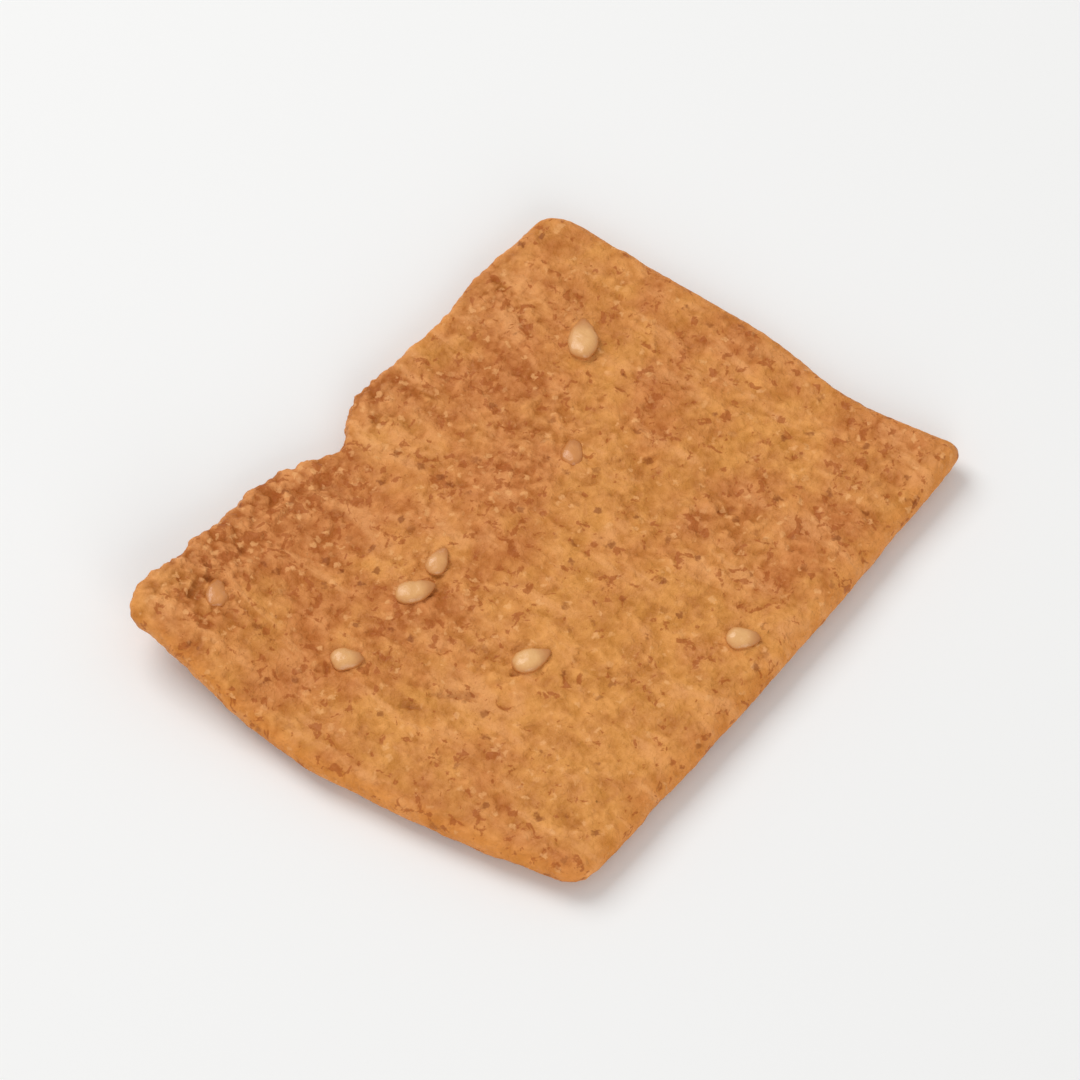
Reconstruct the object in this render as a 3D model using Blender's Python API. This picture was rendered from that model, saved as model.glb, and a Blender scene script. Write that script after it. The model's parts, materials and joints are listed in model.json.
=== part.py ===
"""A baked pita chip: one crisp, square-cut piece of flat bread with sesame seeds.

Run it with: blender --background --python part.py

Units are metres. The chip lies on its underside with +Z up. X runs along its front
edge and Y away from it. The origin is on the surface that it rests on, under the
middle of the chip.

The crust starts as a flat grid. Its lines are closer together in the rim, and it is
carried to the cut outline. A copy of it makes the lower face, and the two meet in
the rounded rim. The seeds are shapes of their own that one Boolean union joins to
the crust, so the chip is a single solid.
"""

import math

import bmesh
import bpy
from mathutils import Matrix, Vector, noise

MM = 0.001

# Cut outline: the four corners before they are rounded
FRONT_LEFT = Vector((-20.0, -24.8)) * MM
FRONT_RIGHT = Vector((19.7, -22.5)) * MM
BACK_RIGHT = Vector((19.7, 23.75)) * MM
BACK_LEFT = Vector((-16.6, 21.8)) * MM
CORNER_RADIUS = 2.0 * MM
BACK_RIGHT_RADIUS = 1.0 * MM

# Half sizes of the plain rectangle that the grid fills before it is carried to the outline
HALF_X = 19.5 * MM
HALF_Y = 23.0 * MM

# The front and right edges bow out, the back edge has a shallow hollow, the left edge is torn
FRONT_BULGE = 2.45 * MM
FRONT_BULGE_AT = -1.5 * MM
RIGHT_BULGE = 0.5 * MM
RIGHT_BULGE_AT = 0.0 * MM
BULGE_POWER = 1.5
BACK_HOLLOW = 1.2 * MM
BACK_HOLLOW_AT = 10.5 * MM
BACK_HOLLOW_WIDTH = 5.5 * MM
NOTCH_DEPTH = 2.3 * MM
NOTCH_AT = -4.2 * MM
NOTCH_WIDTH = 2.5 * MM

# Powers of the way to an edge: how fast a change to that edge dies out inwards
CUT_EDGE_POWER = 2
TORN_EDGE_POWER = 8
OUTWARD_POWER = 9

# Crumbling of the cut edge: its depth, the size of its bites, and how much deeper it is where torn
EDGE_CRUMB = 0.13 * MM
EDGE_CRUMB_SIZE = 1.7 * MM
EDGE_CRUMB_COARSE_SIZE = 5.1 * MM
EDGE_CRUMB_REACH = 3.5 * MM
TORN_CRUMB = 3.0

# Section: thickness, and the round of the rim
THICKNESS = 2.4 * MM
THICKNESS_CHANGE = 0.25 * MM
THICKNESS_CHANGE_SIZE = 11.0 * MM
RIM_DEPTH = 1.25 * MM
RIM_ROUNDNESS = 2.3
RIM_STEPS = 4
CELL = 1.0 * MM

# Warp of the whole chip as it dried in the oven
ARCH_HEIGHT = 0.75 * MM
ARCH_RADIUS = 25.0 * MM
CURL_HEIGHT = 2.7 * MM
CURL_RADIUS = 17.0 * MM
WAVE_HEIGHT = 0.45 * MM
WAVE_SIZE = 15.0 * MM
CLEARANCE = 0.3 * MM

# Low swellings of the underside, pressed flat where the chip stands on them
REST_SPOTS = (
    (14.0 * MM, -17.5 * MM),
    (15.0 * MM, 18.0 * MM),
    (-11.0 * MM, 16.5 * MM),
    (-5.0 * MM, -19.5 * MM),
)
REST_SPOT_DEPTH = 1.0 * MM
REST_SPOT_RADIUS = 7.0 * MM

# Relief of the two faces: low blisters, and the crumb between them
BLISTER_HEIGHT = 0.26 * MM
BLISTER_SIZE = 4.2 * MM
GRAIN_HEIGHT = 0.12 * MM
GRAIN_SIZE = 1.5 * MM

# Layers of the noise, one for each field, so that no two fields repeat each other
EDGE_LAYER = 0.0
COARSE_EDGE_LAYER = 9.0
WAVE_LAYER = 1.3
THICKNESS_LAYER = 6.1
UPPER_LAYER = 3.7
LOWER_LAYER = -5.2

# Sesame seed: its size, and how far its middle lies above the crust
SEED_LENGTH = 3.2 * MM
SEED_WIDTH = 2.0 * MM
SEED_HEIGHT = 1.0 * MM
SEED_TAPER = 0.3
SEED_SEGMENTS = 6
SEED_RINGS = 4

# Where each seed lies: x, y, heading of its tip in degrees, size against a full seed,
# and the height of its middle above the crust as a share of its own height
SEEDS = (
    (-7.5 * MM, 13.7 * MM, 127, 1.05, 0.10),
    (-2.3 * MM, 5.7 * MM, 118, 0.75, -0.12),
    (-4.2 * MM, -7.8 * MM, 100, 0.72, 0.10),
    (-4.0 * MM, -10.7 * MM, 57, 0.92, 0.05),
    (-4.5 * MM, -18.1 * MM, 40, 0.88, 0.08),
    (6.1 * MM, -10.1 * MM, 62, 0.95, 0.08),
    (17.0 * MM, 0.7 * MM, 38, 0.85, 0.08),
    (-15.0 * MM, -19.9 * MM, 125, 0.80, -0.12),
)

CRUST_COLOUR = (0.58, 0.235, 0.063, 1.0)
CRUST_ROUGHNESS = 0.72
SEED_COLOUR = (0.74, 0.50, 0.26, 1.0)
SEED_ROUGHNESS = 0.5


def make_material(name, colour, roughness):
    """Return a Principled material of one colour and roughness."""
    material = bpy.data.materials.new(name)
    material.use_nodes = True
    shader = material.node_tree.nodes["Principled BSDF"]
    shader.inputs["Base Color"].default_value = colour
    shader.inputs["Roughness"].default_value = roughness
    shader.inputs["Metallic"].default_value = 0.0
    return material


def add_object(name, mesh_data, material):
    """Make a named object from a bmesh, smooth and with one material."""
    mesh = bpy.data.meshes.new(name)
    mesh_data.to_mesh(mesh)
    mesh_data.free()
    mesh.materials.append(material)
    mesh.shade_smooth()
    return bpy.data.objects.new(name, mesh)


def bumps(x, y, size, layer):
    """Smooth noise from about -1 to 1 with hills of the given size; layer picks one field."""
    return noise.noise(Vector((x / size, y / size, layer)))


def grid_lines(half_length):
    """Places of the grid's lines: a quarter-circle spacing in the rim, even cells inside."""
    rim = []
    for step in range(RIM_STEPS):
        angle = math.pi / 2 * step / RIM_STEPS
        rim.append(half_length - RIM_DEPTH * (1 - math.cos(angle)))
    inside = half_length - RIM_DEPTH
    cells = round(2 * inside / CELL)
    even = [inside * (2 * cell / cells - 1) for cell in range(cells + 1)]
    return [-place for place in rim] + even + rim[::-1]


def round_corners(x, y):
    """Slide a point of a sharp rectangle into the round-cornered one; also give its depth.

    The depth is the distance from the rim, measured inwards.
    """
    radius = BACK_RIGHT_RADIUS if x > 0 and y > 0 else CORNER_RADIUS
    across = (abs(x) - (HALF_X - radius)) / radius
    along = (abs(y) - (HALF_Y - radius)) / radius
    if across <= 0 or along <= 0:
        return x, y, min(HALF_X - abs(x), HALF_Y - abs(y))
    round_across = across * math.sqrt(1 - along**2 / 2)
    round_along = along * math.sqrt(1 - across**2 / 2)
    depth = radius * (1 - math.hypot(round_across, round_along))
    round_x = HALF_X - radius * (1 - round_across)
    round_y = HALF_Y - radius * (1 - round_along)
    return math.copysign(round_x, x), math.copysign(round_y, y), depth


def cut_outline(x, y, depth):
    """Carry a point of the round-cornered rectangle to its place in the cut chip."""
    u = x / HALF_X
    v = y / HALF_Y
    front = FRONT_LEFT.lerp(FRONT_RIGHT, (u + 1) / 2)
    back = BACK_LEFT.lerp(BACK_RIGHT, (u + 1) / 2)
    point = front.lerp(back, (v + 1) / 2)

    near_front = ((1 - v) / 2) ** CUT_EDGE_POWER
    near_back = ((1 + v) / 2) ** CUT_EDGE_POWER
    near_left = ((1 - u) / 2) ** TORN_EDGE_POWER
    near_right = ((1 + u) / 2) ** CUT_EDGE_POWER
    front_bow = 1 - abs((point.x - FRONT_BULGE_AT) / HALF_X) ** BULGE_POWER
    right_bow = 1 - abs((point.y - RIGHT_BULGE_AT) / HALF_Y) ** BULGE_POWER
    point.y -= FRONT_BULGE * max(0.0, front_bow) * near_front
    point.x += RIGHT_BULGE * max(0.0, right_bow) * near_right
    hollow = math.exp(-(((point.x - BACK_HOLLOW_AT) / BACK_HOLLOW_WIDTH) ** 2))
    point.y -= BACK_HOLLOW * hollow * near_back
    notch = math.exp(-(((point.y - NOTCH_AT) / NOTCH_WIDTH) ** 2))
    point.x += NOTCH_DEPTH * notch * near_left

    outward = Vector((u**OUTWARD_POWER, v**OUTWARD_POWER))
    if outward.length > 0:
        outward.normalize()
    reach = max(0.0, 1 - depth / EDGE_CRUMB_REACH) ** 2
    bites = bumps(point.x, point.y, EDGE_CRUMB_SIZE, EDGE_LAYER)
    bites += bumps(point.x, point.y, EDGE_CRUMB_COARSE_SIZE, COARSE_EDGE_LAYER)
    return point + outward * reach * bites * EDGE_CRUMB * (1 + TORN_CRUMB * near_left)


def fall_off(distance, radius):
    """Go smoothly from 1 at no distance to 0 at the radius."""
    share = min(1.0, distance / radius)
    return 1 - share * share * (3 - 2 * share)


def lift(x, y):
    """Height of the chip above one lying flat: clearance, arch, curled corner and waves."""
    arch = ARCH_HEIGHT * fall_off(math.hypot(x, y), ARCH_RADIUS)
    from_corner = math.hypot(x - FRONT_LEFT.x, y - FRONT_LEFT.y)
    curl = CURL_HEIGHT * fall_off(from_corner, CURL_RADIUS)
    wave = WAVE_HEIGHT * (1 + bumps(x, y, WAVE_SIZE, WAVE_LAYER)) / 2
    return CLEARANCE + arch + curl + wave


def half_thickness(x, y):
    """Half of the crust's thickness away from the rim, before its relief."""
    change = THICKNESS_CHANGE * bumps(x, y, THICKNESS_CHANGE_SIZE, THICKNESS_LAYER)
    return (THICKNESS + change) / 2


def swelling(x, y):
    """Depth of the low swellings that the underside stands on."""
    nearest = min(math.hypot(x - spot_x, y - spot_y) for spot_x, spot_y in REST_SPOTS)
    return REST_SPOT_DEPTH * fall_off(nearest, REST_SPOT_RADIUS)


def relief(x, y, layer):
    """Height of the blisters and the crumb on one face, whose layer picks their noise."""
    blister = BLISTER_HEIGHT * bumps(x, y, BLISTER_SIZE, layer)
    grain = GRAIN_HEIGHT * bumps(x, y, GRAIN_SIZE, 2 * layer)
    return blister + grain


def rim_share(depth):
    """Share of the full thickness at a depth from the rim, which is rounded."""
    from_full = max(0.0, 1 - depth / RIM_DEPTH)
    return max(0.0, 1 - from_full**RIM_ROUNDNESS) ** (1 / RIM_ROUNDNESS)


def upper_height(x, y, share):
    """Height of the upper face, where the rim leaves a share of the thickness."""
    half = half_thickness(x, y) + relief(x, y, UPPER_LAYER)
    return THICKNESS / 2 + lift(x, y) + share * half


def lower_height(x, y, share):
    """Height of the lower face, which is flat where it would reach below the base."""
    half = half_thickness(x, y) + relief(x, y, LOWER_LAYER) + swelling(x, y)
    return max(0.0, THICKNESS / 2 + lift(x, y) - share * half)


def shape_face(vertices, lines_x, lines_y, height):
    """Move one grid's vertices to a face of the crust, whose height is a function."""
    for vertex in vertices:
        column = round((vertex.co.x + 1) / 2 * (len(lines_x) - 1))
        row = round((vertex.co.y + 1) / 2 * (len(lines_y) - 1))
        x, y, depth = round_corners(lines_x[column], lines_y[row])
        point = cut_outline(x, y, depth)
        vertex.co = (point.x, point.y, height(point.x, point.y, rim_share(depth)))


def build_crust(material):
    """Make the crust: two shaped grids, sewn together along the rim."""
    lines_x = grid_lines(HALF_X)
    lines_y = grid_lines(HALF_Y)
    mesh_data = bmesh.new()
    bmesh.ops.create_grid(mesh_data, x_segments=len(lines_x) - 1, y_segments=len(lines_y) - 1, size=1)
    upper = list(mesh_data.verts)
    copy = bmesh.ops.duplicate(mesh_data, geom=mesh_data.verts[:] + mesh_data.edges[:] + mesh_data.faces[:])
    lower = [item for item in copy["geom"] if isinstance(item, bmesh.types.BMVert)]
    lower_faces = [item for item in copy["geom"] if isinstance(item, bmesh.types.BMFace)]
    bmesh.ops.reverse_faces(mesh_data, faces=lower_faces)
    shape_face(upper, lines_x, lines_y, upper_height)
    shape_face(lower, lines_x, lines_y, lower_height)
    bmesh.ops.remove_doubles(mesh_data, verts=mesh_data.verts, dist=0.001 * MM)
    return add_object("pita_chip", mesh_data, material)


def crust_top(x, y):
    """Height of the upper face away from the rim."""
    return upper_height(x, y, 1.0)


def seed_placement(x, y, heading, raised):
    """Matrix that lays a seed on the crust's slope, with its tip at the heading."""
    step = SEED_WIDTH / 2
    slope_x = (crust_top(x + step, y) - crust_top(x - step, y)) / (2 * step)
    slope_y = (crust_top(x, y + step) - crust_top(x, y - step)) / (2 * step)
    normal = Vector((-slope_x, -slope_y, 1)).normalized()
    tilt = Vector((0, 0, 1)).rotation_difference(normal).to_matrix().to_4x4()
    turn = Matrix.Rotation(math.radians(heading), 4, "Z")
    place = Matrix.Translation((x, y, crust_top(x, y) + raised * SEED_HEIGHT))
    return place @ tilt @ turn


def build_seeds(material):
    """Make the seeds: flat drops, each narrower towards its tip."""
    seeds = bpy.data.collections.new("seeds")
    bpy.context.scene.collection.children.link(seeds)
    for number, (x, y, heading, size, raised) in enumerate(SEEDS):
        mesh_data = bmesh.new()
        bmesh.ops.create_uvsphere(mesh_data, u_segments=SEED_SEGMENTS, v_segments=SEED_RINGS, radius=0.5)
        bmesh.ops.rotate(mesh_data, verts=mesh_data.verts, matrix=Matrix.Rotation(math.pi / 2, 3, "Y"))
        for vertex in mesh_data.verts:
            taper = 1 - SEED_TAPER * 2 * vertex.co.x
            vertex.co.y *= taper
            vertex.co.z *= taper
        seed_size = Vector((SEED_LENGTH, SEED_WIDTH, SEED_HEIGHT)) * size
        bmesh.ops.scale(mesh_data, verts=mesh_data.verts, vec=seed_size)
        bmesh.ops.transform(mesh_data, verts=mesh_data.verts, matrix=seed_placement(x, y, heading, raised))
        seeds.objects.link(add_object(f"seed_{number}", mesh_data, material))
    return seeds


def fuse_seeds(crust, seeds):
    """Join the seeds to the crust with one Boolean union, then remove their own objects."""
    union = crust.modifiers.new("seeds", "BOOLEAN")
    union.operation = "UNION"
    union.solver = "EXACT"
    union.operand_type = "COLLECTION"
    union.collection = seeds
    bpy.context.view_layer.objects.active = crust
    bpy.ops.object.modifier_apply(modifier=union.name)
    for seed in list(seeds.objects):
        bpy.data.objects.remove(seed)
    bpy.data.collections.remove(seeds)


def centre_on_base(chip):
    """Move the mesh so that the origin is under its middle, at its lowest point."""
    corners = [Vector(vertex.co) for vertex in chip.data.vertices]
    lowest = Vector(min(corner[axis] for corner in corners) for axis in range(3))
    highest = Vector(max(corner[axis] for corner in corners) for axis in range(3))
    middle = (lowest + highest) / 2
    chip.data.transform(Matrix.Translation((-middle.x, -middle.y, -lowest.z)))


def main():
    """Clear the scene and build the chip."""
    for old in list(bpy.data.objects):
        bpy.data.objects.remove(old)
    crust_material = make_material("baked_crust", CRUST_COLOUR, CRUST_ROUGHNESS)
    seed_material = make_material("sesame_seed", SEED_COLOUR, SEED_ROUGHNESS)
    chip = build_crust(crust_material)
    bpy.context.scene.collection.objects.link(chip)
    fuse_seeds(chip, build_seeds(seed_material))
    centre_on_base(chip)


main()
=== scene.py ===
"""Dressed model of a baked pita chip with sesame seeds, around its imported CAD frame.

The crust is a fine copy of the CAD node with crumb, pits and blisters raised on it, and
the sesame seeds lie where the CAD has them. The chip lies on z = 0, X runs along its
front edge and Y away from it. Sizes are metres, and places on the chip are millimetres.
"""

import json
import logging
import math
from dataclasses import dataclass
from enum import Enum

import bpy
import numpy as np
from mathutils import Matrix, Vector
from mathutils.bvhtree import BVHTree
from mathutils.kdtree import KDTree

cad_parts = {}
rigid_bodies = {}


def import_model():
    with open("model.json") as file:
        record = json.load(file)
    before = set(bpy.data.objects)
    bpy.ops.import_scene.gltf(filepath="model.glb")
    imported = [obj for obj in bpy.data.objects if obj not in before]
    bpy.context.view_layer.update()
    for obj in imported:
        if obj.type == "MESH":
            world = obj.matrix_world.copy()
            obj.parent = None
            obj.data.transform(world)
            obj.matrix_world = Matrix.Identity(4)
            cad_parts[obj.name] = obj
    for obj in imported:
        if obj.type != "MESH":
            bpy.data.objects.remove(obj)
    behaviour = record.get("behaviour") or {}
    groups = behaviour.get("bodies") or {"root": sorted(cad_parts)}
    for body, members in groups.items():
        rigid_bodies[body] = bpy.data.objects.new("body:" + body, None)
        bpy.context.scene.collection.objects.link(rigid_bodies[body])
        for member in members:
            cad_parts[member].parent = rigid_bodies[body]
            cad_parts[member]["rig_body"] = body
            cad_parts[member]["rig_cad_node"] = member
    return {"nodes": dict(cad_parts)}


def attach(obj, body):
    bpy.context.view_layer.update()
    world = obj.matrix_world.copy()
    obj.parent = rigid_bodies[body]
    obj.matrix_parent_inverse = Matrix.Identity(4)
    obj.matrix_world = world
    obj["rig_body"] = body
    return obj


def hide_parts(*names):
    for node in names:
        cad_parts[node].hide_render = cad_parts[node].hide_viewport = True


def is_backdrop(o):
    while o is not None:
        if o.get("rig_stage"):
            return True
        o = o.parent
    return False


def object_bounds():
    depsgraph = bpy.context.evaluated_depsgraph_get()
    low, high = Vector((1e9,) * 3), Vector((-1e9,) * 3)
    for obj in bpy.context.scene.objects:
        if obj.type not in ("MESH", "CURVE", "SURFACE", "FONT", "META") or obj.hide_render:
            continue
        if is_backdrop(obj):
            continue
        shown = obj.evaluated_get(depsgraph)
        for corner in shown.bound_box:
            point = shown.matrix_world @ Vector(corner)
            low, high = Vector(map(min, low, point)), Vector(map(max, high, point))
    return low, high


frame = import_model()
CAD_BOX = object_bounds()

NODE = "pita_chip"
BODY = "root"
MM = 0.001

WEIGHT_STEPS = 40
SHORTEST_LINE = 1e-9
RAGGED_SHARE = 0.16
RAGGED_WAVES = ((9.0, 2.5), (-5.5, 11.0))

SMOOTHSTEP = "SMOOTHSTEP"
MULTIPLY_ADD = "MULTIPLY_ADD"

log = logging.getLogger("pita_chip")


def linear(hex_colour: str) -> tuple[float, float, float, float]:
    """Turn an sRGB hex colour into linear light.

    Args:
        hex_colour: Six hex digits after a hash.

    Returns:
        Red, green, blue and an alpha of one.
    """
    channels = [int(hex_colour[place : place + 2], 16) / 255 for place in (1, 3, 5)]
    red, green, blue = (
        channel / 12.92 if channel <= 0.04045 else ((channel + 0.055) / 1.055) ** 2.4
        for channel in channels
    )
    return red, green, blue, 1.0


def add_node(
    tree: bpy.types.NodeTree, kind: str, inputs: dict | None = None, **settings
) -> bpy.types.Node:
    """Add one node to a material, with its settings and its links.

    Args:
        tree: Node tree of the material.
        kind: Type of the node, without Blender's prefix.
        inputs: Input sockets by name or number. A socket is linked, anything else is a value.
        settings: The node's own properties.

    Returns:
        The new node.
    """
    node = tree.nodes.new("ShaderNode" + kind)
    for name, value in settings.items():
        setattr(node, name, value)
    for key, value in (inputs or {}).items():
        if isinstance(value, bpy.types.NodeSocket):
            tree.links.new(value, node.inputs[key])
        else:
            node.inputs[key].default_value = value
    return node


def new_material(name: str) -> tuple[bpy.types.Material, bpy.types.NodeTree, bpy.types.Node]:
    """Make a material of nodes.

    Args:
        name: Name of the material.

    Returns:
        The material, its node tree and its Principled shader.
    """
    material = bpy.data.materials.new(name)
    material.use_nodes = True
    return material, material.node_tree, material.node_tree.nodes["Principled BSDF"]


@dataclass(frozen=True)
class Ramp:
    """A range of a pattern's values, and what its two ends give."""

    low: float
    high: float
    end: float = 1.0
    start: float = 0.0

    def over(self, value: bpy.types.NodeSocket) -> dict:
        """Give the inputs of a Map Range node that reads a value."""
        return {
            "Value": value,
            "From Min": self.low,
            "From Max": self.high,
            "To Min": self.start,
            "To Max": self.end,
        }


@dataclass(frozen=True)
class Pattern:
    """A noise's size in millimetres and its make-up."""

    size: float
    detail: float = 2.0
    roughness: float = 0.5
    distortion: float = 0.0

    def at(self, place: bpy.types.NodeSocket) -> dict:
        """Give the inputs of a noise node that reads a place in millimetres."""
        return {
            "Vector": place,
            "Scale": 1 / self.size,
            "Detail": self.detail,
            "Roughness": self.roughness,
            "Distortion": self.distortion,
        }


def take(piece: bpy.types.Object) -> None:
    """Select one object alone and make it the active one.

    Args:
        piece: The object.
    """
    bpy.ops.object.select_all(action="DESELECT")
    piece.select_set(True)
    bpy.context.view_layer.objects.active = piece


def finish_with(piece: bpy.types.Object, kind: str, **settings) -> None:
    """Add a modifier to a piece and apply it.

    Args:
        piece: The piece, a mesh.
        kind: Type of the modifier.
        settings: The modifier's own properties.
    """
    take(piece)
    modifier = piece.modifiers.new(kind.lower(), kind)
    for name, value in settings.items():
        setattr(modifier, name, value)
    bpy.ops.object.modifier_apply(modifier=modifier.name)


def points_of(mesh: bpy.types.Mesh) -> np.ndarray:
    """Read a mesh's vertices.

    Args:
        mesh: The mesh.

    Returns:
        One row of x, y and z for each vertex.
    """
    flat = np.zeros(len(mesh.vertices) * 3, np.float32)
    mesh.vertices.foreach_get("co", flat)
    return flat.reshape(-1, 3).astype(float)


def normals_of(mesh: bpy.types.Mesh) -> np.ndarray:
    """Read a mesh's vertex normals.

    Args:
        mesh: The mesh.

    Returns:
        One row of x, y and z for each vertex.
    """
    flat = np.zeros(len(mesh.vertices) * 3, np.float32)
    mesh.vertex_normals.foreach_get("vector", flat)
    return flat.reshape(-1, 3).astype(float)


def fade(distance: np.ndarray) -> np.ndarray:
    """Go smoothly from 1 at no distance to 0 at a distance of 1.

    Args:
        distance: Distances, as shares of the reach.

    Returns:
        The shares left at those distances.
    """
    share = np.clip(distance, 0, 1)
    return 1 - share * share * (3 - 2 * share)


def paint(mesh: bpy.types.Mesh, name: str, values: np.ndarray) -> None:
    """Store one number for each vertex, for a material to read.

    Args:
        mesh: The mesh.
        name: Name of the attribute.
        values: One number for each vertex.
    """
    attribute = mesh.attributes.new(name, "FLOAT", "POINT")
    attribute.data.foreach_set("value", values.astype(np.float32))


class Field(Enum):
    """What the oven did to an area of the crust."""

    GOLDEN = "golden"
    RUDDY = "ruddy"
    CRUMBLY = "crumbly"


@dataclass(frozen=True)
class Area:
    """An area of the upper face that baked in its own way.

    The centre and the reach are millimetres, and the amount is from 0 to 1.
    """

    field: Field
    x: float
    y: float
    reach: float
    amount: float

    def share(self, points: np.ndarray) -> np.ndarray:
        """Say how far each point lies in the area.

        Args:
            points: Vertices, in metres.

        Returns:
            The amount at the centre, and 0 at the reach.
        """
        away = np.hypot(points[:, 0] / MM - self.x, points[:, 1] / MM - self.y)
        return self.amount * fade(away / self.reach)


AREAS = (
    Area(Field.GOLDEN, 5.1, 0.7, 8.0, 0.8),
    Area(Field.GOLDEN, 11.6, 2.2, 6.0, 0.7),
    Area(Field.GOLDEN, 12.1, -7.3, 9.0, 0.9),
    Area(Field.GOLDEN, 15.6, -16.3, 6.5, 0.7),
    Area(Field.GOLDEN, 13.0, -12.5, 8.0, 0.7),
    Area(Field.GOLDEN, 17.6, 7.7, 6.0, 0.4),
    Area(Field.GOLDEN, 4.1, 16.7, 8.0, 0.4),
    Area(Field.RUDDY, -16.9, -17.3, 9.0, 0.9),
    Area(Field.RUDDY, -14.9, -7.3, 9.0, 0.9),
    Area(Field.RUDDY, -15.9, 2.7, 8.0, 0.6),
    Area(Field.RUDDY, -10.9, 12.7, 9.0, 0.5),
    Area(Field.RUDDY, 1.6, -13.8, 5.0, 0.4),
    Area(Field.RUDDY, -6.0, 4.5, 8.0, 0.6),
    Area(Field.RUDDY, -8.5, -7.5, 7.0, 0.5),
    Area(Field.CRUMBLY, -17.9, -18.3, 9.0, 1.0),
    Area(Field.CRUMBLY, -16.9, -8.3, 8.0, 1.0),
    Area(Field.CRUMBLY, -16.9, 1.7, 8.0, 0.9),
    Area(Field.CRUMBLY, -14.9, 13.7, 9.0, 0.7),
    Area(Field.CRUMBLY, -5.9, 5.7, 9.0, 0.6),
    Area(Field.CRUMBLY, -1.9, -10.3, 8.0, 0.4),
    Area(Field.CRUMBLY, 10.1, 9.7, 7.0, 0.4),
)


class Relief(Enum):
    """A small mark that rises from the crust or sinks into it."""

    PIT = "pit"
    PIMPLE = "pimple"


@dataclass(frozen=True)
class Mark:
    """One pit, crack or pimple of the upper face, from one point to another.

    The points and the radius are millimetres, and the depth is a share of the deepest.
    """

    relief: Relief
    start: tuple[float, float]
    end: tuple[float, float]
    radius: float
    depth: float

    def share(self, points: np.ndarray) -> np.ndarray:
        """Say how far each point lies in the mark.

        Args:
            points: Vertices, in metres.

        Returns:
            The depth along the mark's line, and 0 at its radius.
        """
        flat = points[:, :2] / MM - np.array(self.start)
        line = np.array(self.end) - np.array(self.start)
        along = np.clip(flat @ line / max(line @ line, SHORTEST_LINE), 0, 1)
        away = np.linalg.norm(flat - along[:, None] * line, axis=1)
        ragged = sum(np.sin(flat @ np.array(wave)) for wave in RAGGED_WAVES)
        away = np.maximum(away + RAGGED_SHARE * self.radius * ragged, 0)
        return self.depth * fade(away / self.radius)


MARKS = (
    Mark(Relief.PIT, (-16.7, -18.5), (-16.3, -19.9), 0.6, 0.7),
    Mark(Relief.PIT, (-16.3, -17.9), (-15.3, -17.6), 0.5, 0.6),
    Mark(Relief.PIT, (-5.8, -18.5), (-5.5, -18.2), 0.55, 0.7),
    Mark(Relief.PIT, (5.5, -10.3), (5.6, -10.2), 0.4, 0.9),
    Mark(Relief.PIT, (-3.1, -8.2), (-2.9, -7.7), 0.5, 0.5),
    Mark(Relief.PIT, (0.1, -15.3), (1.1, -14.9), 0.5, 0.5),
    Mark(Relief.PIT, (0.8, -17.1), (1.5, -16.8), 0.6, 0.8),
    Mark(Relief.PIT, (1.9, -15.1), (2.5, -14.8), 0.5, 0.7),
    Mark(Relief.PIT, (3.0, -14.4), (4.3, -13.5), 0.5, 0.8),
    Mark(Relief.PIT, (9.1, 9.7), (9.7, 10.3), 0.5, 0.6),
    Mark(Relief.PIT, (-13.2, -7.9), (-12.5, -7.1), 0.5, 0.5),
    Mark(Relief.PIT, (-15.1, -6.3), (-14.5, -5.7), 0.45, 0.5),
    Mark(Relief.PIMPLE, (-14.4, -7.4), (-14.2, -7.3), 0.7, 0.8),
    Mark(Relief.PIMPLE, (-13.5, -6.3), (-13.4, -6.2), 0.55, 0.7),
    Mark(Relief.PIMPLE, (-16.2, -8.5), (-16.1, -8.4), 0.5, 0.7),
    Mark(Relief.PIMPLE, (-3.9, 2.8), (-3.8, 2.9), 0.6, 0.6),
)


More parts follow.
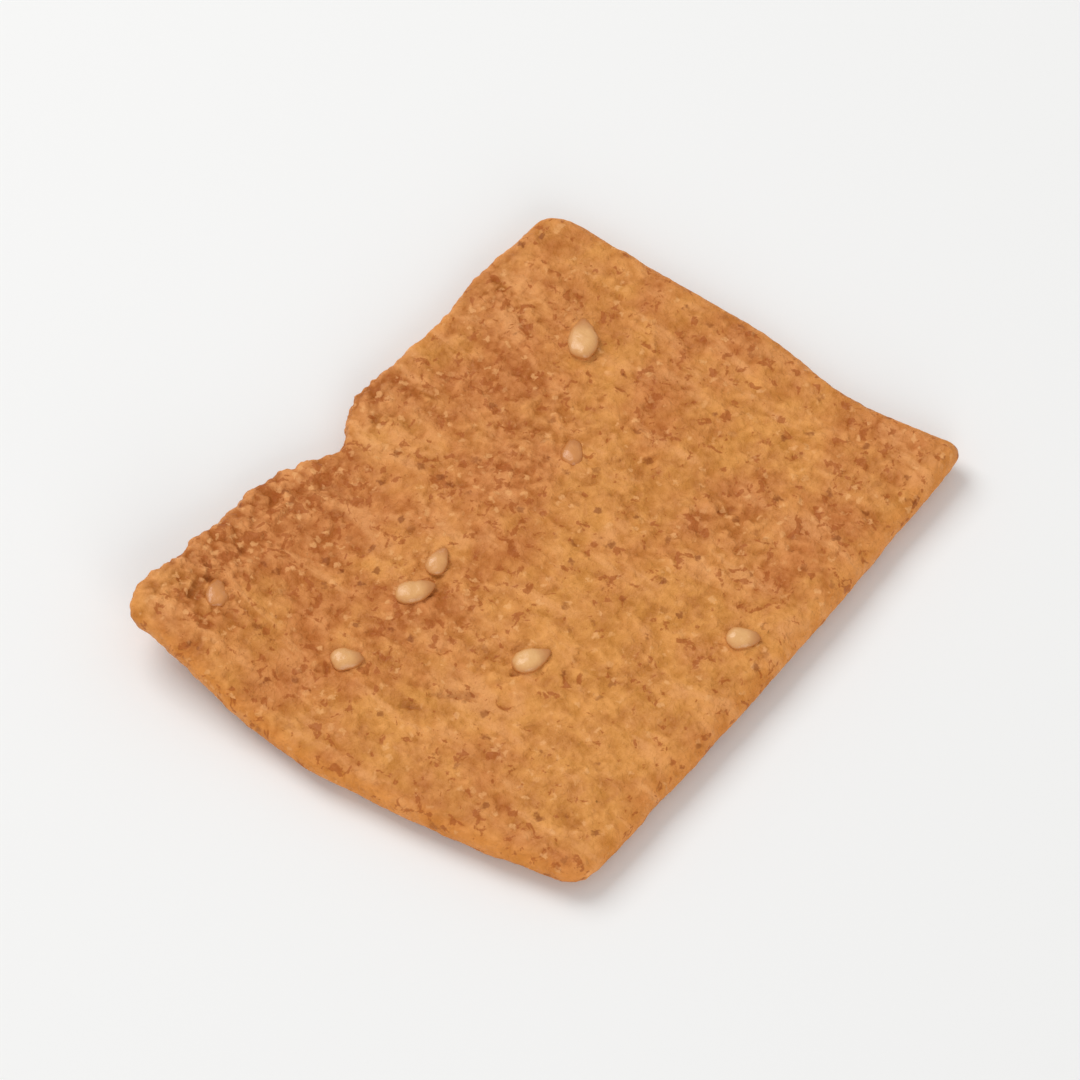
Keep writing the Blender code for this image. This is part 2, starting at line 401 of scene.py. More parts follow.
@dataclass(frozen=True)
class BakedCrust:
    """Wheat flat bread, oiled and baked crisp.

    It gives the eye a matte golden brown that is mottled over a few millimetres, with
    fine grain, dark specks, darker pits, pale crumbs that partly stand as painted glints,
    painted shade in the crumb's hollows with painted light on its tops, and a smoother orange
    rim where the oil ran, partly brightened as painted light on the edge walls.
    """

    golden: str = "#E89F4A"
    ruddy: str = "#CB7534"
    toasted: str = "#B66626"
    # The dark crumb colour is painted shade in the crumb's hollows as well as its dark smudges,
    # and the flour colour is painted light on its tops as well as flour
    smudge_and_hollow_shade: str = "#8C460C"
    flour_and_lit_tops: str = "#E9A365"
    freckle: str = "#A8561C"
    speck: str = "#8A4410"
    # Pale crumbs, partly painted glints of oily sheen
    crumb_and_painted_light: str = "#F0B070"
    # The rim's orange is partly the oiled edge's own colour and partly painted light on the edge
    # walls
    rim: str = "#F09638"
    patches: Pattern = Pattern(5.5, 3.0, 0.55)
    golden_weight: float = 0.16
    ruddy_weight: float = -0.14
    patch_ramp: Ramp = Ramp(0.33, 0.67)
    mottles: Pattern = Pattern(1.8, 4.0, 0.6, 0.5)
    mottle_ramp: Ramp = Ramp(0.42, 0.80, 0.8)
    rim_orange_and_light: float = 0.75
    rim_dryness: float = -0.55
    roll_angle: float = 0.65
    roll_stretch: tuple[float, float, float] = (0.45, 1.2, 1.0)
    smears: Pattern = Pattern(2.6, 3.0, 0.6, 0.6)
    smear_ramp: Ramp = Ramp(0.52, 0.70, 0.5)
    grain: Pattern = Pattern(0.45)
    smudges: Pattern = Pattern(1.6, 3.0, 0.6, 0.9)
    # How much the crumb's height paints light on its tops and shade in its hollows
    relief_shading_weight: float = 0.13
    grain_weight: float = 0.1
    smudge_weight: float = 0.42
    smear_weight: float = 0.3
    tone_ramp: Ramp = Ramp(0.29, 0.51)
    crumb_share: float = 0.4
    crumbly_share: float = 0.18
    freckles: Pattern = Pattern(1.0, 3.0, 0.6, 0.5)
    freckle_mottles: float = 0.35
    freckle_gold: float = -0.2
    freckle_ramp: Ramp = Ramp(0.655, 0.72, 0.7)
    ragged_scale: float = 2.2
    ragged_reach: float = 0.9
    crumb_and_glint_spacing: float = 0.8
    crumb_and_glint_extra: float = 0.35
    crumb_and_glint_chosen: Ramp = Ramp(0.6, 0.92, 0.6)
    crumb_and_glint_edge: Ramp = Ramp(0.40, 0.16)
    speck_spacing: float = 1.5
    speck_chosen: Ramp = Ramp(0.5, 0.9, 0.7)
    speck_edge: Ramp = Ramp(0.28, 0.12)
    gloss: Ramp = Ramp(0.35, 0.65, 0.5, 0.66)
    ior: float = 1.45
    specular: float = 0.23
    pores: Pattern = Pattern(0.16)
    pore_height: float = 0.15
    tone_height: float = 0.3
    grit_size: float = 0.5
    grit_height: float = -0.7
    bump_strength: float = 0.65
    bump_depth: float = 0.2 * MM

    def material(self) -> bpy.types.Material:
        """Make the crust's material.

        Returns:
            The material.
        """
        material, tree, shader = new_material("baked_wheat_crust")
        place = add_node(tree, "TexCoord").outputs["Object"]
        in_mm = add_node(
            tree, "Mapping", {"Vector": place, "Scale": (1 / MM,) * 3}
        ).outputs["Vector"]
        painted = {
            name: add_node(tree, "Attribute", attribute_name=name).outputs["Fac"]
            for name in ("golden", "ruddy", "crumbly", "rim", "relief", "pit_darkening")
        }

        # Broad patches: golden where the dough was thicker, ruddy where it browned
        patches = add_node(tree, "TexNoise", self.patches.at(in_mm)).outputs[0]
        gold = add_node(
            tree,
            "Math",
            {0: painted["golden"], 1: self.golden_weight, 2: patches},
            operation=MULTIPLY_ADD,
        ).outputs[0]
        toast = add_node(
            tree,
            "Math",
            {0: painted["ruddy"], 1: self.ruddy_weight, 2: gold},
            operation=MULTIPLY_ADD,
        ).outputs[0]
        share = add_node(
            tree, "MapRange", self.patch_ramp.over(toast), interpolation_type=SMOOTHSTEP
        ).outputs[0]
        colour = add_node(
            tree,
            "Mix",
            {0: share, 6: linear(self.ruddy), 7: linear(self.golden)},
            data_type="RGBA",
        ).outputs[2]

        # Mottles: the tops of small blisters, which took more heat
        mottles = add_node(tree, "TexNoise", self.mottles.at(in_mm)).outputs[0]
        share = add_node(tree, "MapRange", self.mottle_ramp.over(mottles)).outputs[0]
        colour = add_node(
            tree, "Mix", {0: share, 6: colour, 7: linear(self.toasted)}, data_type="RGBA"
        ).outputs[2]

        # Oiled rim: smoother and more orange, but dry on the crumbly side; its bright orange is
        # partly painted light on the edge walls that face away from the key light
        orange_and_lit_rim = add_node(
            tree,
            "Math",
            {0: painted["crumbly"], 1: self.rim_dryness, 2: self.rim_orange_and_light},
            operation=MULTIPLY_ADD,
        ).outputs[0]
        share = add_node(
            tree, "Math", {0: painted["rim"], 1: orange_and_lit_rim}, operation="MULTIPLY"
        ).outputs[0]
        colour = add_node(
            tree, "Mix", {0: share, 6: colour, 7: linear(self.rim)}, data_type="RGBA"
        ).outputs[2]

        # Streaks drawn out along the dough's rolling direction
        rolled = add_node(
            tree,
            "Mapping",
            {"Vector": in_mm, "Rotation": (0, 0, self.roll_angle), "Scale": self.roll_stretch},
        ).outputs["Vector"]
        smears = add_node(tree, "TexNoise", self.smears.at(rolled)).outputs[0]

        # Crumb: loose grains catch flour and smudges are brown; painted light makes the crumb's
        # raised tops paler and painted shade makes its hollows darker
        grain = add_node(tree, "TexNoise", self.grain.at(in_mm)).outputs[0]
        smudges = add_node(tree, "TexNoise", self.smudges.at(in_mm)).outputs[0]
        tone = add_node(
            tree, "Math", {0: painted["relief"], 1: self.relief_shading_weight}, operation="MULTIPLY"
        ).outputs[0]
        for part, weight in (
            (grain, self.grain_weight),
            (smudges, self.smudge_weight),
            (smears, self.smear_weight),
        ):
            tone = add_node(
                tree, "Math", {0: part, 1: weight, 2: tone}, operation=MULTIPLY_ADD
            ).outputs[0]
        tone = add_node(tree, "MapRange", self.tone_ramp.over(tone)).outputs[0]
        crumb_and_painted_light = add_node(
            tree,
            "Mix",
            {0: tone, 6: linear(self.smudge_and_hollow_shade), 7: linear(self.flour_and_lit_tops)},
            data_type="RGBA",
        ).outputs[2]
        share = add_node(
            tree,
            "Math",
            {0: painted["crumbly"], 1: self.crumbly_share, 2: self.crumb_share},
            operation=MULTIPLY_ADD,
        ).outputs[0]
        colour = add_node(
            tree, "Mix", {0: share, 6: colour, 7: crumb_and_painted_light}, data_type="RGBA"
        ).outputs[2]

        # Smears of dry flour
        share = add_node(
            tree, "MapRange", self.smear_ramp.over(smears), interpolation_type=SMOOTHSTEP
        ).outputs[0]
        colour = add_node(
            tree, "Mix", {0: share, 6: colour, 7: linear(self.flour_and_lit_tops)}, data_type="RGBA"
        ).outputs[2]

        # Freckles: ragged little scorches, thickest where the crust is mottled and ruddy
        freckles = add_node(tree, "TexNoise", self.freckles.at(in_mm)).outputs[0]
        for part, weight in ((mottles, self.freckle_mottles), (toast, self.freckle_gold)):
            freckles = add_node(
                tree, "Math", {0: part, 1: weight, 2: freckles}, operation=MULTIPLY_ADD
            ).outputs[0]
        share = add_node(
            tree, "MapRange", self.freckle_ramp.over(freckles), interpolation_type=SMOOTHSTEP
        ).outputs[0]
        colour = add_node(
            tree, "Mix", {0: share, 6: colour, 7: linear(self.freckle)}, data_type="RGBA"
        ).outputs[2]

        # Pale crumbs, more of them on the crumbly side; part of these pale dots are painted
        # glints of oily sheen
        ragged = add_node(
            tree, "TexNoise", {"Vector": in_mm, "Scale": self.ragged_scale, "Detail": 2.0}
        ).outputs[1]
        ragged = add_node(
            tree,
            "VectorMath",
            {0: ragged, 1: (self.ragged_reach,) * 3, 2: in_mm},
            operation=MULTIPLY_ADD,
        ).outputs[0]
        cells = add_node(tree, "TexVoronoi", {"Vector": ragged, "Scale": 1 / self.crumb_and_glint_spacing})
        pick = add_node(tree, "SeparateColor", {0: cells.outputs["Color"]}).outputs[0]
        more = add_node(
            tree,
            "Math",
            {0: painted["crumbly"], 1: self.crumb_and_glint_extra, 2: pick},
            operation=MULTIPLY_ADD,
        ).outputs[0]
        chosen = add_node(tree, "MapRange", self.crumb_and_glint_chosen.over(more)).outputs[0]
        dot = add_node(
            tree,
            "MapRange",
            self.crumb_and_glint_edge.over(cells.outputs["Distance"]),
            interpolation_type=SMOOTHSTEP,
        ).outputs[0]
        share = add_node(tree, "Math", {0: dot, 1: chosen}, operation="MULTIPLY").outputs[0]
        colour = add_node(
            tree, "Mix", {0: share, 6: colour, 7: linear(self.crumb_and_painted_light)}, data_type="RGBA"
        ).outputs[2]

        # Dark specks of bran and scorched flour, and darker colour in the pits
        cells = add_node(tree, "TexVoronoi", {"Vector": ragged, "Scale": 1 / self.speck_spacing})
        pick = add_node(tree, "SeparateColor", {0: cells.outputs["Color"]}).outputs[1]
        chosen = add_node(tree, "MapRange", self.speck_chosen.over(pick)).outputs[0]
        dot = add_node(
            tree,
            "MapRange",
            self.speck_edge.over(cells.outputs["Distance"]),
            interpolation_type=SMOOTHSTEP,
        ).outputs[0]
        specks = add_node(tree, "Math", {0: dot, 1: chosen}, operation="MULTIPLY").outputs[0]
        dark = add_node(
            tree, "Math", {0: specks, 1: painted["pit_darkening"]}, operation="MAXIMUM"
        ).outputs[0]
        colour = add_node(
            tree, "Mix", {0: dark, 6: colour, 7: linear(self.speck)}, data_type="RGBA"
        ).outputs[2]
        tree.links.new(colour, shader.inputs["Base Color"])

        # Gloss: matte, a little oilier in the mottles
        roughness = add_node(tree, "MapRange", self.gloss.over(mottles)).outputs[0]
        tree.links.new(roughness, shader.inputs["Roughness"])
        shader.inputs["IOR"].default_value = self.ior
        shader.inputs["Specular IOR Level"].default_value = self.specular

        # Pores and grain that are finer than the mesh. The finest pores of such bread are too
        # fine to show, so they are drawn coarser than they are.
        pores = add_node(tree, "TexNoise", self.pores.at(in_mm)).outputs[0]
        grit = add_node(
            tree, "TexVoronoi", {"Vector": ragged, "Scale": 1 / self.grit_size}
        ).outputs["Distance"]
        height = grain
        for part, weight in (
            (pores, self.pore_height),
            (tone, self.tone_height),
            (grit, self.grit_height),
        ):
            height = add_node(
                tree, "Math", {0: part, 1: weight, 2: height}, operation=MULTIPLY_ADD
            ).outputs[0]
        bump = add_node(
            tree,
            "Bump",
            {"Height": height, "Strength": self.bump_strength, "Distance": self.bump_depth},
        )
        tree.links.new(bump.outputs["Normal"], shader.inputs["Normal"])
        return material


@dataclass(frozen=True)
class ToastedSesame:
    """Hulled sesame seed, toasted on the bread.

    It gives the eye a pale cream drop with a faint oily gloss, browner at its tip and
    where it toasted, with fine streaks along it, and painted shade low down at its foot.
    """

    cream: str = "#E8B272"
    toasted: str = "#D48C4C"
    tip: str = "#B87038"
    # Painted shade low down on the seed, where it meets the crust
    foot_shade: str = "#BE7638"
    streaks: Pattern = Pattern(0.22, 3.0, 0.6)
    streak_weight: float = 0.5
    toast_ramp: Ramp = Ramp(0.2, 1.1)
    tip_ramp: Ramp = Ramp(0.2, 0.95, 0.8)
    foot_shade_ramp: Ramp = Ramp(0.9, 0.15, 0.85)
    roughness: float = 0.3
    specular: float = 0.65
    ior: float = 1.46
    bump_strength: float = 0.35
    bump_depth: float = 0.1 * MM

    def material(self) -> bpy.types.Material:
        """Make the seeds' material.

        Returns:
            The material.
        """
        material, tree, shader = new_material("toasted_sesame_seed")
        place = add_node(tree, "TexCoord").outputs["Object"]
        in_mm = add_node(
            tree, "Mapping", {"Vector": place, "Scale": (1 / MM,) * 3}
        ).outputs["Vector"]
        toast = add_node(tree, "Attribute", attribute_name="toast").outputs["Fac"]
        along = add_node(tree, "Attribute", attribute_name="along").outputs["Fac"]
        rise = add_node(tree, "Attribute", attribute_name="rise").outputs["Fac"]

        # Browner where it toasted, unevenly
        clouds = add_node(tree, "TexNoise", self.streaks.at(in_mm)).outputs[0]
        uneven = add_node(
            tree, "Math", {0: clouds, 1: self.streak_weight, 2: toast}, operation=MULTIPLY_ADD
        ).outputs[0]
        share = add_node(tree, "MapRange", self.toast_ramp.over(uneven)).outputs[0]
        colour = add_node(
            tree,
            "Mix",
            {0: share, 6: linear(self.cream), 7: linear(self.toasted)},
            data_type="RGBA",
        ).outputs[2]

        # Browner at its tip; at its foot, where it meets the crust, painted shade darkens it low
        # down
        for part, ramp, brown_and_shade in (
            (along, self.tip_ramp, self.tip),
            (rise, self.foot_shade_ramp, self.foot_shade),
        ):
            share = add_node(tree, "MapRange", ramp.over(part)).outputs[0]
            colour = add_node(
                tree, "Mix", {0: share, 6: colour, 7: linear(brown_and_shade)}, data_type="RGBA"
            ).outputs[2]
        tree.links.new(colour, shader.inputs["Base Color"])
        shader.inputs["Roughness"].default_value = self.roughness
        shader.inputs["Specular IOR Level"].default_value = self.specular
        shader.inputs["IOR"].default_value = self.ior
        bump = add_node(
            tree,
            "Bump",
            {"Height": clouds, "Strength": self.bump_strength, "Distance": self.bump_depth},
        )
        tree.links.new(bump.outputs["Normal"], shader.inputs["Normal"])
        return material


@dataclass(frozen=True)
class PaintedBoard:
    """Board painted matte white, which gives the eye a plain pale ground."""

    white: str = "#F3F3F2"
    roughness: float = 0.9

    def material(self) -> bpy.types.Material:
        """Make the board's material.

        Returns:
            The material.
        """
        material, _, shader = new_material("matte_white_board")
        shader.inputs["Base Color"].default_value = linear(self.white)
        shader.inputs["Roughness"].default_value = self.roughness
        return material


@dataclass(frozen=True)
class Seed:
    """One sesame seed of the upper face.

    Its place is millimetres and its heading degrees. Its size and stretch are shares of the
    modelled seed's, how far it is raised is a share of its height, and toast is from 0 to 1.
    """

    x: float
    y: float
    heading: float
    size: float
    raised: float
    toast: float
    stretch: float


SEEDS = (
    Seed(-7.65, 15.07, 127, 1.02, 0.10, 0.15, 1.08),
    Seed(-2.45, 7.07, 118, 0.75, -0.12, 0.85, 1.0),
    Seed(-4.35, -6.43, 100, 0.70, 0.10, 0.45, 1.0),
    Seed(-4.15, -9.33, 57, 0.86, 0.05, 0.2, 1.08),
    Seed(-4.65, -16.73, 40, 0.88, 0.08, 0.2, 0.84),
    Seed(5.95, -8.73, 62, 0.94, 0.08, 0.0, 0.95),
    Seed(16.85, 2.07, 38, 0.83, 0.08, 0.1, 0.92),
    Seed(-15.15, -18.53, 125, 0.80, -0.12, 1.0, 1.0),
)


@dataclass(frozen=True)
class Crumb:
    """One layer of the crumb: a texture that raises the crust.

    The size and the height are millimetres.
    """

    name: str
    kind: str
    size: float
    height: float
    settings: dict
    middle: float = 0.5


CRUMB = (
    Crumb("lumps", "CLOUDS", 1.0, 0.4, {"noise_depth": 2}),
    Crumb(
        "furrows",
        "MUSGRAVE",
        1.5,
        -0.25,
        {"musgrave_type": "RIDGED_MULTIFRACTAL", "octaves": 2, "noise_intensity": 0.6},
    ),
    Crumb("grains", "VORONOI", 0.65, -0.26, {"contrast": 1.2}, 0.4),
    Crumb("grit", "CLOUDS", 0.4, 0.16, {"noise_depth": 1}),
)


@dataclass
class Crust:
    """The baked flat bread: a fine copy of the CAD node with its crumb raised."""

    voxel: float = 0.17 * MM
    merge: float = 0.001 * MM
    smoothing: float = 0.5
    facet_smoothing: int = 14
    seed_smoothing: int = 260
    seed_margin: float = 1.35
    lowest_upward: float = -0.2
    rim_width: float = 1.5 * MM
    rim_normal: float = 0.3
    rim_reach: float = 2.6 * MM
    rim_calm: float = 0.65
    crumb_least: float = 0.55
    crumb_gain: float = 0.45
    triangles: int = 190_000
    mark_depth: float = 0.32 * MM
    # How much darker the pits are coloured
    pit_darkening: float = 0.42
    relief_range: float = 0.2 * MM

    def build(self) -> bpy.types.Object:
        """Model the crust and dress it.

        Returns:
            The crust.
        """
        crust = self.copy_of_node()
        finish_with(crust, "REMESH", mode="VOXEL", voxel_size=self.voxel, use_smooth_shade=True)
        finish_with(crust, "SMOOTH", factor=self.smoothing, iterations=self.facet_smoothing)
        self.level_under_seeds(crust)
        even = BVHTree.FromObject(crust, bpy.context.evaluated_depsgraph_get())
        rim = self.rim_points(crust)
        self.raise_crumb(crust, rim)
        self.press_marks(crust)
        crust.vertex_groups.clear()
        share = self.triangles / (2 * len(crust.data.polygons))
        finish_with(crust, "DECIMATE", ratio=min(1.0, share))
        self.keep_in_box(crust)
        self.paint_areas(crust, even, rim)
        crust.data.materials.clear()
        crust.data.materials.append(BakedCrust().material())
        take(crust)
        bpy.ops.object.shade_smooth()
        return crust

    def copy_of_node(self) -> bpy.types.Object:
        """Copy the CAD node and merge its loose triangles.

        Returns:
            The copy.
        """
        take(frame["nodes"][NODE])
        bpy.ops.object.duplicate()
        crust = bpy.context.object
        crust.name = crust.data.name = "baked_crust"
        bpy.ops.object.parent_clear(type="CLEAR_KEEP_TRANSFORM")
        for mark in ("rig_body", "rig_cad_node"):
            del crust[mark]
        bpy.ops.object.mode_set(mode="EDIT")
        bpy.ops.mesh.select_all(action="SELECT")
        bpy.ops.mesh.remove_doubles(threshold=self.merge)
        bpy.ops.object.mode_set(mode="OBJECT")
        return crust

    def level_under_seeds(self, crust: bpy.types.Object) -> None:
        """Smooth the low seeds of the CAD solid away, so that the crust passes under them.

        Args:
            crust: The crust.
        """
        points = points_of(crust.data)
        upward = normals_of(crust.data)[:, 2] > self.lowest_upward
        under = np.zeros(len(points))
        half_length, half_width = SesameSeeds.length / MM / 2, SesameSeeds.width / MM / 2
        for seed in SEEDS:
            turn = math.radians(seed.heading)
            across = points[:, :2] / MM - np.array((seed.x, seed.y))
            along = across @ np.array((math.cos(turn), math.sin(turn)))
            side = across @ np.array((-math.sin(turn), math.cos(turn)))
            reach = self.seed_margin * seed.size
            near = np.hypot(along / half_length, side / half_width) < reach
            under[near & upward] = 1
        self.weigh(crust, "under_seeds", under)
        finish_with(
            crust,
            "SMOOTH",
            factor=self.smoothing,
            iterations=self.seed_smoothing,
            vertex_group="under_seeds",
        )

    def rim_points(self, crust: bpy.types.Object) -> KDTree:
        """Find the middle of the rim all the way round.

        Args:
            crust: The crust, before its crumb is raised.

        Returns:
            The points whose normal is level.
        """
        points = points_of(crust.data)
        found = points[np.abs(normals_of(crust.data)[:, 2]) < self.rim_normal]
        tree = KDTree(len(found))
        for number, point in enumerate(found):
            tree.insert(point, number)
        tree.balance()
        return tree

    def weigh(self, crust: bpy.types.Object, name: str, weights: np.ndarray) -> None:
        """Store weights in a vertex group, in equal steps.

        Args:
            crust: The crust.
            name: Name of the group.
            weights: One weight from 0 to 1 for each vertex.
        """
        group = crust.vertex_groups.new(name=name)
        levels = np.round(np.clip(weights, 0, 1) * WEIGHT_STEPS).astype(int)
        for level in range(1, WEIGHT_STEPS + 1):
            members = np.nonzero(levels == level)[0].tolist()
            if members:
                group.add(members, level / WEIGHT_STEPS, "REPLACE")

    def raise_crumb(self, crust: bpy.types.Object, rim: KDTree) -> None:
        """Raise the crumb: lumps, furrows, grains and grit, coarser on the crumbly side.

        Where the rim isn't crumbly, the cut and the oil left it smoother.

        Args:
            crust: The crust.
            rim: Points along the middle of the rim.
        """
        points = points_of(crust.data)
        crumbly = sum(area.share(points) for area in AREAS if area.field is Field.CRUMBLY)
        crumbly = np.clip(crumbly, 0, 1)
        rim_away = np.array([rim.find(point)[2] for point in points])
        smooth = self.rim_calm * (1 - crumbly) * fade(rim_away / self.rim_reach)
        roughened = self.crumb_least + self.crumb_gain * crumbly
        self.weigh(crust, "crumbly", roughened * (1 - smooth))
        for layer in CRUMB:
            texture = bpy.data.textures.new(layer.name, layer.kind)
            texture.noise_scale = layer.size * MM
            for name, value in layer.settings.items():
                setattr(texture, name, value)
            finish_with(
                crust,
                "DISPLACE",
                texture=texture,
                texture_coords="LOCAL",
                strength=layer.height * MM,
                mid_level=layer.middle,
                vertex_group="crumbly",
            )

    def press_marks(self, crust: bpy.types.Object) -> None:
        """Sink the pits and cracks and raise the pimples of the upper face.

        Args:
            crust: The crust.
        """
        for relief, direction in ((Relief.PIT, -1), (Relief.PIMPLE, 1)):
            shares = self.marked(crust, relief)
            self.weigh(crust, relief.value, shares)
            finish_with(
                crust,
                "DISPLACE",
                strength=direction * self.mark_depth,
                mid_level=0.0,
                vertex_group=relief.value,
            )

    def keep_in_box(self, crust: bpy.types.Object) -> None:
        """Press flat what the crumb pushed past the chip's box or below the table.

        Args:
            crust: The crust.
        """
        points = np.clip(points_of(crust.data), CAD_BOX[0], CAD_BOX[1])
        crust.data.vertices.foreach_set("co", points.astype(np.float32).ravel())
        crust.data.update()

    def marked(self, crust: bpy.types.Object, relief: Relief) -> np.ndarray:
        """Say how deep each vertex lies in the marks of one kind.

        Args:
            crust: The crust.
            relief: Kind of the marks.

        Returns:
            One share for each vertex, which is 0 on the underside.
        """
        points = points_of(crust.data)
        shares = np.max([mark.share(points) for mark in MARKS if mark.relief is relief], axis=0)
        return shares * (normals_of(crust.data)[:, 2] > 0)

    def paint_areas(self, crust: bpy.types.Object, even: BVHTree, rim: KDTree) -> None:
        """Store what the material reads: baked areas, rim, relief and how much darker the pits
        are.

        Args:
            crust: The finished mesh.
            even: The crust before its crumb was raised.
            rim: Points along the middle of the rim.
        """
        points = points_of(crust.data)
        for field in Field:
            shares = sum(area.share(points) for area in AREAS if area.field is field)
            paint(crust.data, field.value, np.clip(shares, 0, 1))
        rim_away = np.array([rim.find(point)[2] for point in points])
        paint(crust.data, "rim", fade(rim_away / self.rim_width))
        heights = np.zeros(len(points))
        for number, point in enumerate(points):
            near, normal, _, _ = even.find_nearest(point)
            heights[number] = (Vector(point) - near).dot(normal)
        paint(crust.data, "relief", np.clip(heights / self.relief_range, -1, 1))
        # Darker colour in the pits
        paint(crust.data, "pit_darkening", self.pit_darkening * self.marked(crust, Relief.PIT))
        log.info("relief from %.2f to %.2f mm", heights.min() / MM, heights.max() / MM)


@dataclass
class SesameSeeds:
    """The seeds pressed into the upper face, one piece."""

    length: float = 3.2 * MM
    width: float = 2.0 * MM
    height: float = 1.0 * MM
    taper: float = 0.62
    segments: int = 40
    rings: int = 28
    cover: float = 1.04
    lift: float = 0.04 * MM
    lump_size: float = 0.9 * MM
    lump_height: float = 0.24 * MM
    ray_start: float = 1.0

    def build(self, crust: bpy.types.Object) -> bpy.types.Object:
        """Model one seed, lay copies of it on the crust and join them.

        Args:
            crust: The crust that they lie on.

        Returns:
            The seeds.
        """
        model = self.one_seed()
        surface = BVHTree.FromObject(crust, bpy.context.evaluated_depsgraph_get())
        laid = [self.lay(model, surface, seed) for seed in SEEDS]
        bpy.data.objects.remove(model)
        take(laid[0])
        for seed in laid:
            seed.select_set(True)
        bpy.ops.object.join()
        seeds = bpy.context.object
        seeds.name = seeds.data.name = "sesame_seeds"
        uneven = bpy.data.textures.new("uneven", "CLOUDS")
        uneven.noise_scale = self.lump_size
        finish_with(
            seeds, "DISPLACE", texture=uneven, texture_coords="LOCAL", strength=self.lump_height
        )
        seeds.data.materials.clear()
        seeds.data.materials.append(ToastedSesame().material())
        take(seeds)
        bpy.ops.object.shade_smooth()
        return seeds

    def one_seed(self) -> bpy.types.Object:
        """Model one flat drop along X, with its narrow tip towards +X.

        Returns:
            The seed, at the origin.
        """
        bpy.ops.object.select_all(action="DESELECT")
        bpy.ops.mesh.primitive_uv_sphere_add(
            segments=self.segments, ring_count=self.rings, radius=0.5
        )
        seed = bpy.context.object
        bpy.ops.object.mode_set(mode="EDIT")
        bpy.ops.mesh.select_all(action="SELECT")
        centre = (0, 0, 0)
        bpy.ops.transform.rotate(value=math.pi / 2, orient_axis="Y", center_override=centre)
        bpy.ops.transform.resize(
            value=(self.length, self.width, self.height), center_override=centre
        )
        bpy.ops.object.mode_set(mode="OBJECT")
        finish_with(
            seed, "SIMPLE_DEFORM", deform_method="TAPER", deform_axis="X", factor=-self.taper
        )
        along = points_of(seed.data)[:, 0] / (self.length / 2)
        paint(seed.data, "along", along)
        return seed

    def lay(self, model: bpy.types.Object, surface: BVHTree, seed: Seed) -> bpy.types.Object:
        """Lay a copy of the seed on the crust.

        Args:
            model: The modelled seed.
            surface: The crust's surface.
            seed: Where and how the copy lies.

        Returns:
            The copy, with its place in its mesh.
        """
        x, y = seed.x * MM, seed.y * MM
        down = Vector((0, 0, -1))
        step = self.width / 2
        around = ((0, 0), (step, 0), (-step, 0), (0, step), (0, -step))
        heights = [
            surface.ray_cast(Vector((x + dx, y + dy, self.ray_start)), down)[0].z
            for dx, dy in around
        ]
        _, east, west, north, south = heights
        normal = Vector((west - east, south - north, 2 * step)).normalized()
        ground = sum(heights) / len(heights)
        take(model)
        bpy.ops.object.duplicate()
        copy = bpy.context.object
        tilt = Vector((0, 0, 1)).rotation_difference(normal).to_matrix().to_4x4()
        turn = Matrix.Rotation(math.radians(seed.heading), 4, "Z")
        place = Matrix.Translation((x, y, ground + seed.raised * self.height + self.lift))
        across = seed.size * self.cover
        size = Matrix.Diagonal((across * seed.stretch, across, across, 1.0))
        copy.matrix_world = place @ tilt @ turn @ size
        bpy.ops.object.transform_apply(location=True, rotation=True, scale=True)
        paint(copy.data, "toast", np.full(len(copy.data.vertices), seed.toast))
        rise = (points_of(copy.data) - np.array((x, y, ground))) @ np.array(normal)
        paint(copy.data, "rise", rise / rise.max())
        return copy


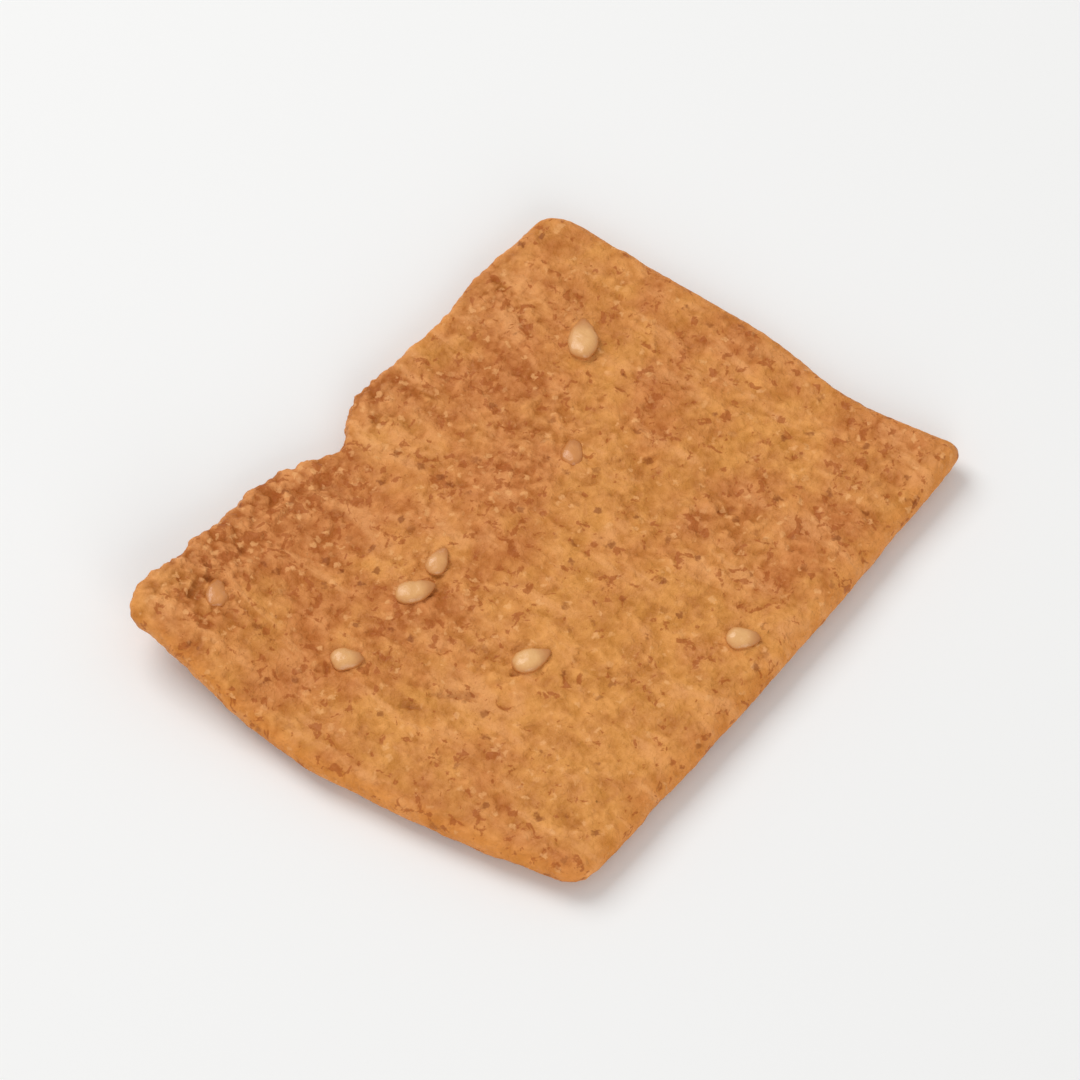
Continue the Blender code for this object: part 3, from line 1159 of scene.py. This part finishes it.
@dataclass
class Studio:
    """The pale floor, the soft lights and the camera."""

    floor_size: float = 4.0
    azimuth: float = 37.5
    elevation: float = 59.0
    lens: float = 800.0
    sensor: float = 36.0
    view_width: float = 78 * MM
    near_clip: float = 0.01
    key_place: tuple[float, float, float] = (-0.42, 0.06, 0.55)
    key_size: float = 0.42
    key_power: float = 2.53
    fill_place: tuple[float, float, float] = (0.5, -0.4, 0.35)
    fill_size: float = 0.5
    fill_power: float = 1.6
    world_strength: float = 0.5

    def build(self) -> None:
        """Set up the floor, the lights and the camera."""
        self.lay_floor()
        self.light("key", Vector(self.key_place), self.key_size, self.key_power)
        self.light("fill", Vector(self.fill_place), self.fill_size, self.fill_power)
        self.light_world()
        self.place_camera()

    def lay_floor(self) -> None:
        """Lay the floor that the chip rests on."""
        bpy.ops.object.select_all(action="DESELECT")
        bpy.ops.mesh.primitive_plane_add(size=self.floor_size)
        floor = bpy.context.object
        floor.name = floor.data.name = "floor"
        floor.data.materials.append(PaintedBoard().material())
        floor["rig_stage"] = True

    def light(self, name: str, place: Vector, size: float, power: float) -> None:
        """Hang a square soft light that looks at the chip.

        Args:
            name: Name of the light.
            place: Where it hangs.
            size: Length of its side.
            power: Its power in watts.
        """
        bpy.ops.object.select_all(action="DESELECT")
        bpy.ops.object.light_add(type="AREA", location=place)
        light = bpy.context.object
        light.name = name
        light.data.size = size
        light.data.energy = power
        light.rotation_euler = (-place).to_track_quat("-Z", "Y").to_euler()

    def light_world(self) -> None:
        """Fill the room with even white light."""
        world = bpy.data.worlds.new("studio")
        world.use_nodes = True
        background = world.node_tree.nodes["Background"]
        background.inputs["Color"].default_value = (1.0, 1.0, 1.0, 1.0)
        background.inputs["Strength"].default_value = self.world_strength
        bpy.context.scene.world = world
        bpy.context.scene.view_settings.view_transform = "Standard"

    def place_camera(self) -> None:
        """Look down at the chip from its front right with a long lens."""
        low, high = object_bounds()
        centre = (low + high) / 2
        azimuth, elevation = math.radians(self.azimuth), math.radians(self.elevation)
        back = Vector(
            (
                math.sin(azimuth) * math.cos(elevation),
                -math.cos(azimuth) * math.cos(elevation),
                math.sin(elevation),
            )
        )
        distance = self.view_width * self.lens / self.sensor
        bpy.ops.object.camera_add(location=centre + back * distance)
        camera = bpy.context.object
        camera.rotation_euler = (-back).to_track_quat("-Z", "Y").to_euler()
        camera.data.lens = self.lens
        camera.data.sensor_width = self.sensor
        camera.data.clip_start = self.near_clip
        bpy.context.scene.camera = camera


def main() -> None:
    """Build the crust, the seeds and the studio."""
    logging.basicConfig(level=logging.INFO, format="%(name)s: %(message)s")
    crust = Crust().build()
    seeds = SesameSeeds().build(crust)
    for piece, slot in ((crust, "baked_crust"), (seeds, "sesame_seed")):
        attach(piece, BODY)
        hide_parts(NODE)
        piece.data.calc_loop_triangles()
        log.info("%s: %d triangles", piece.name, len(piece.data.loop_triangles))
    Studio().build()


if __name__ == "__main__":
    main()
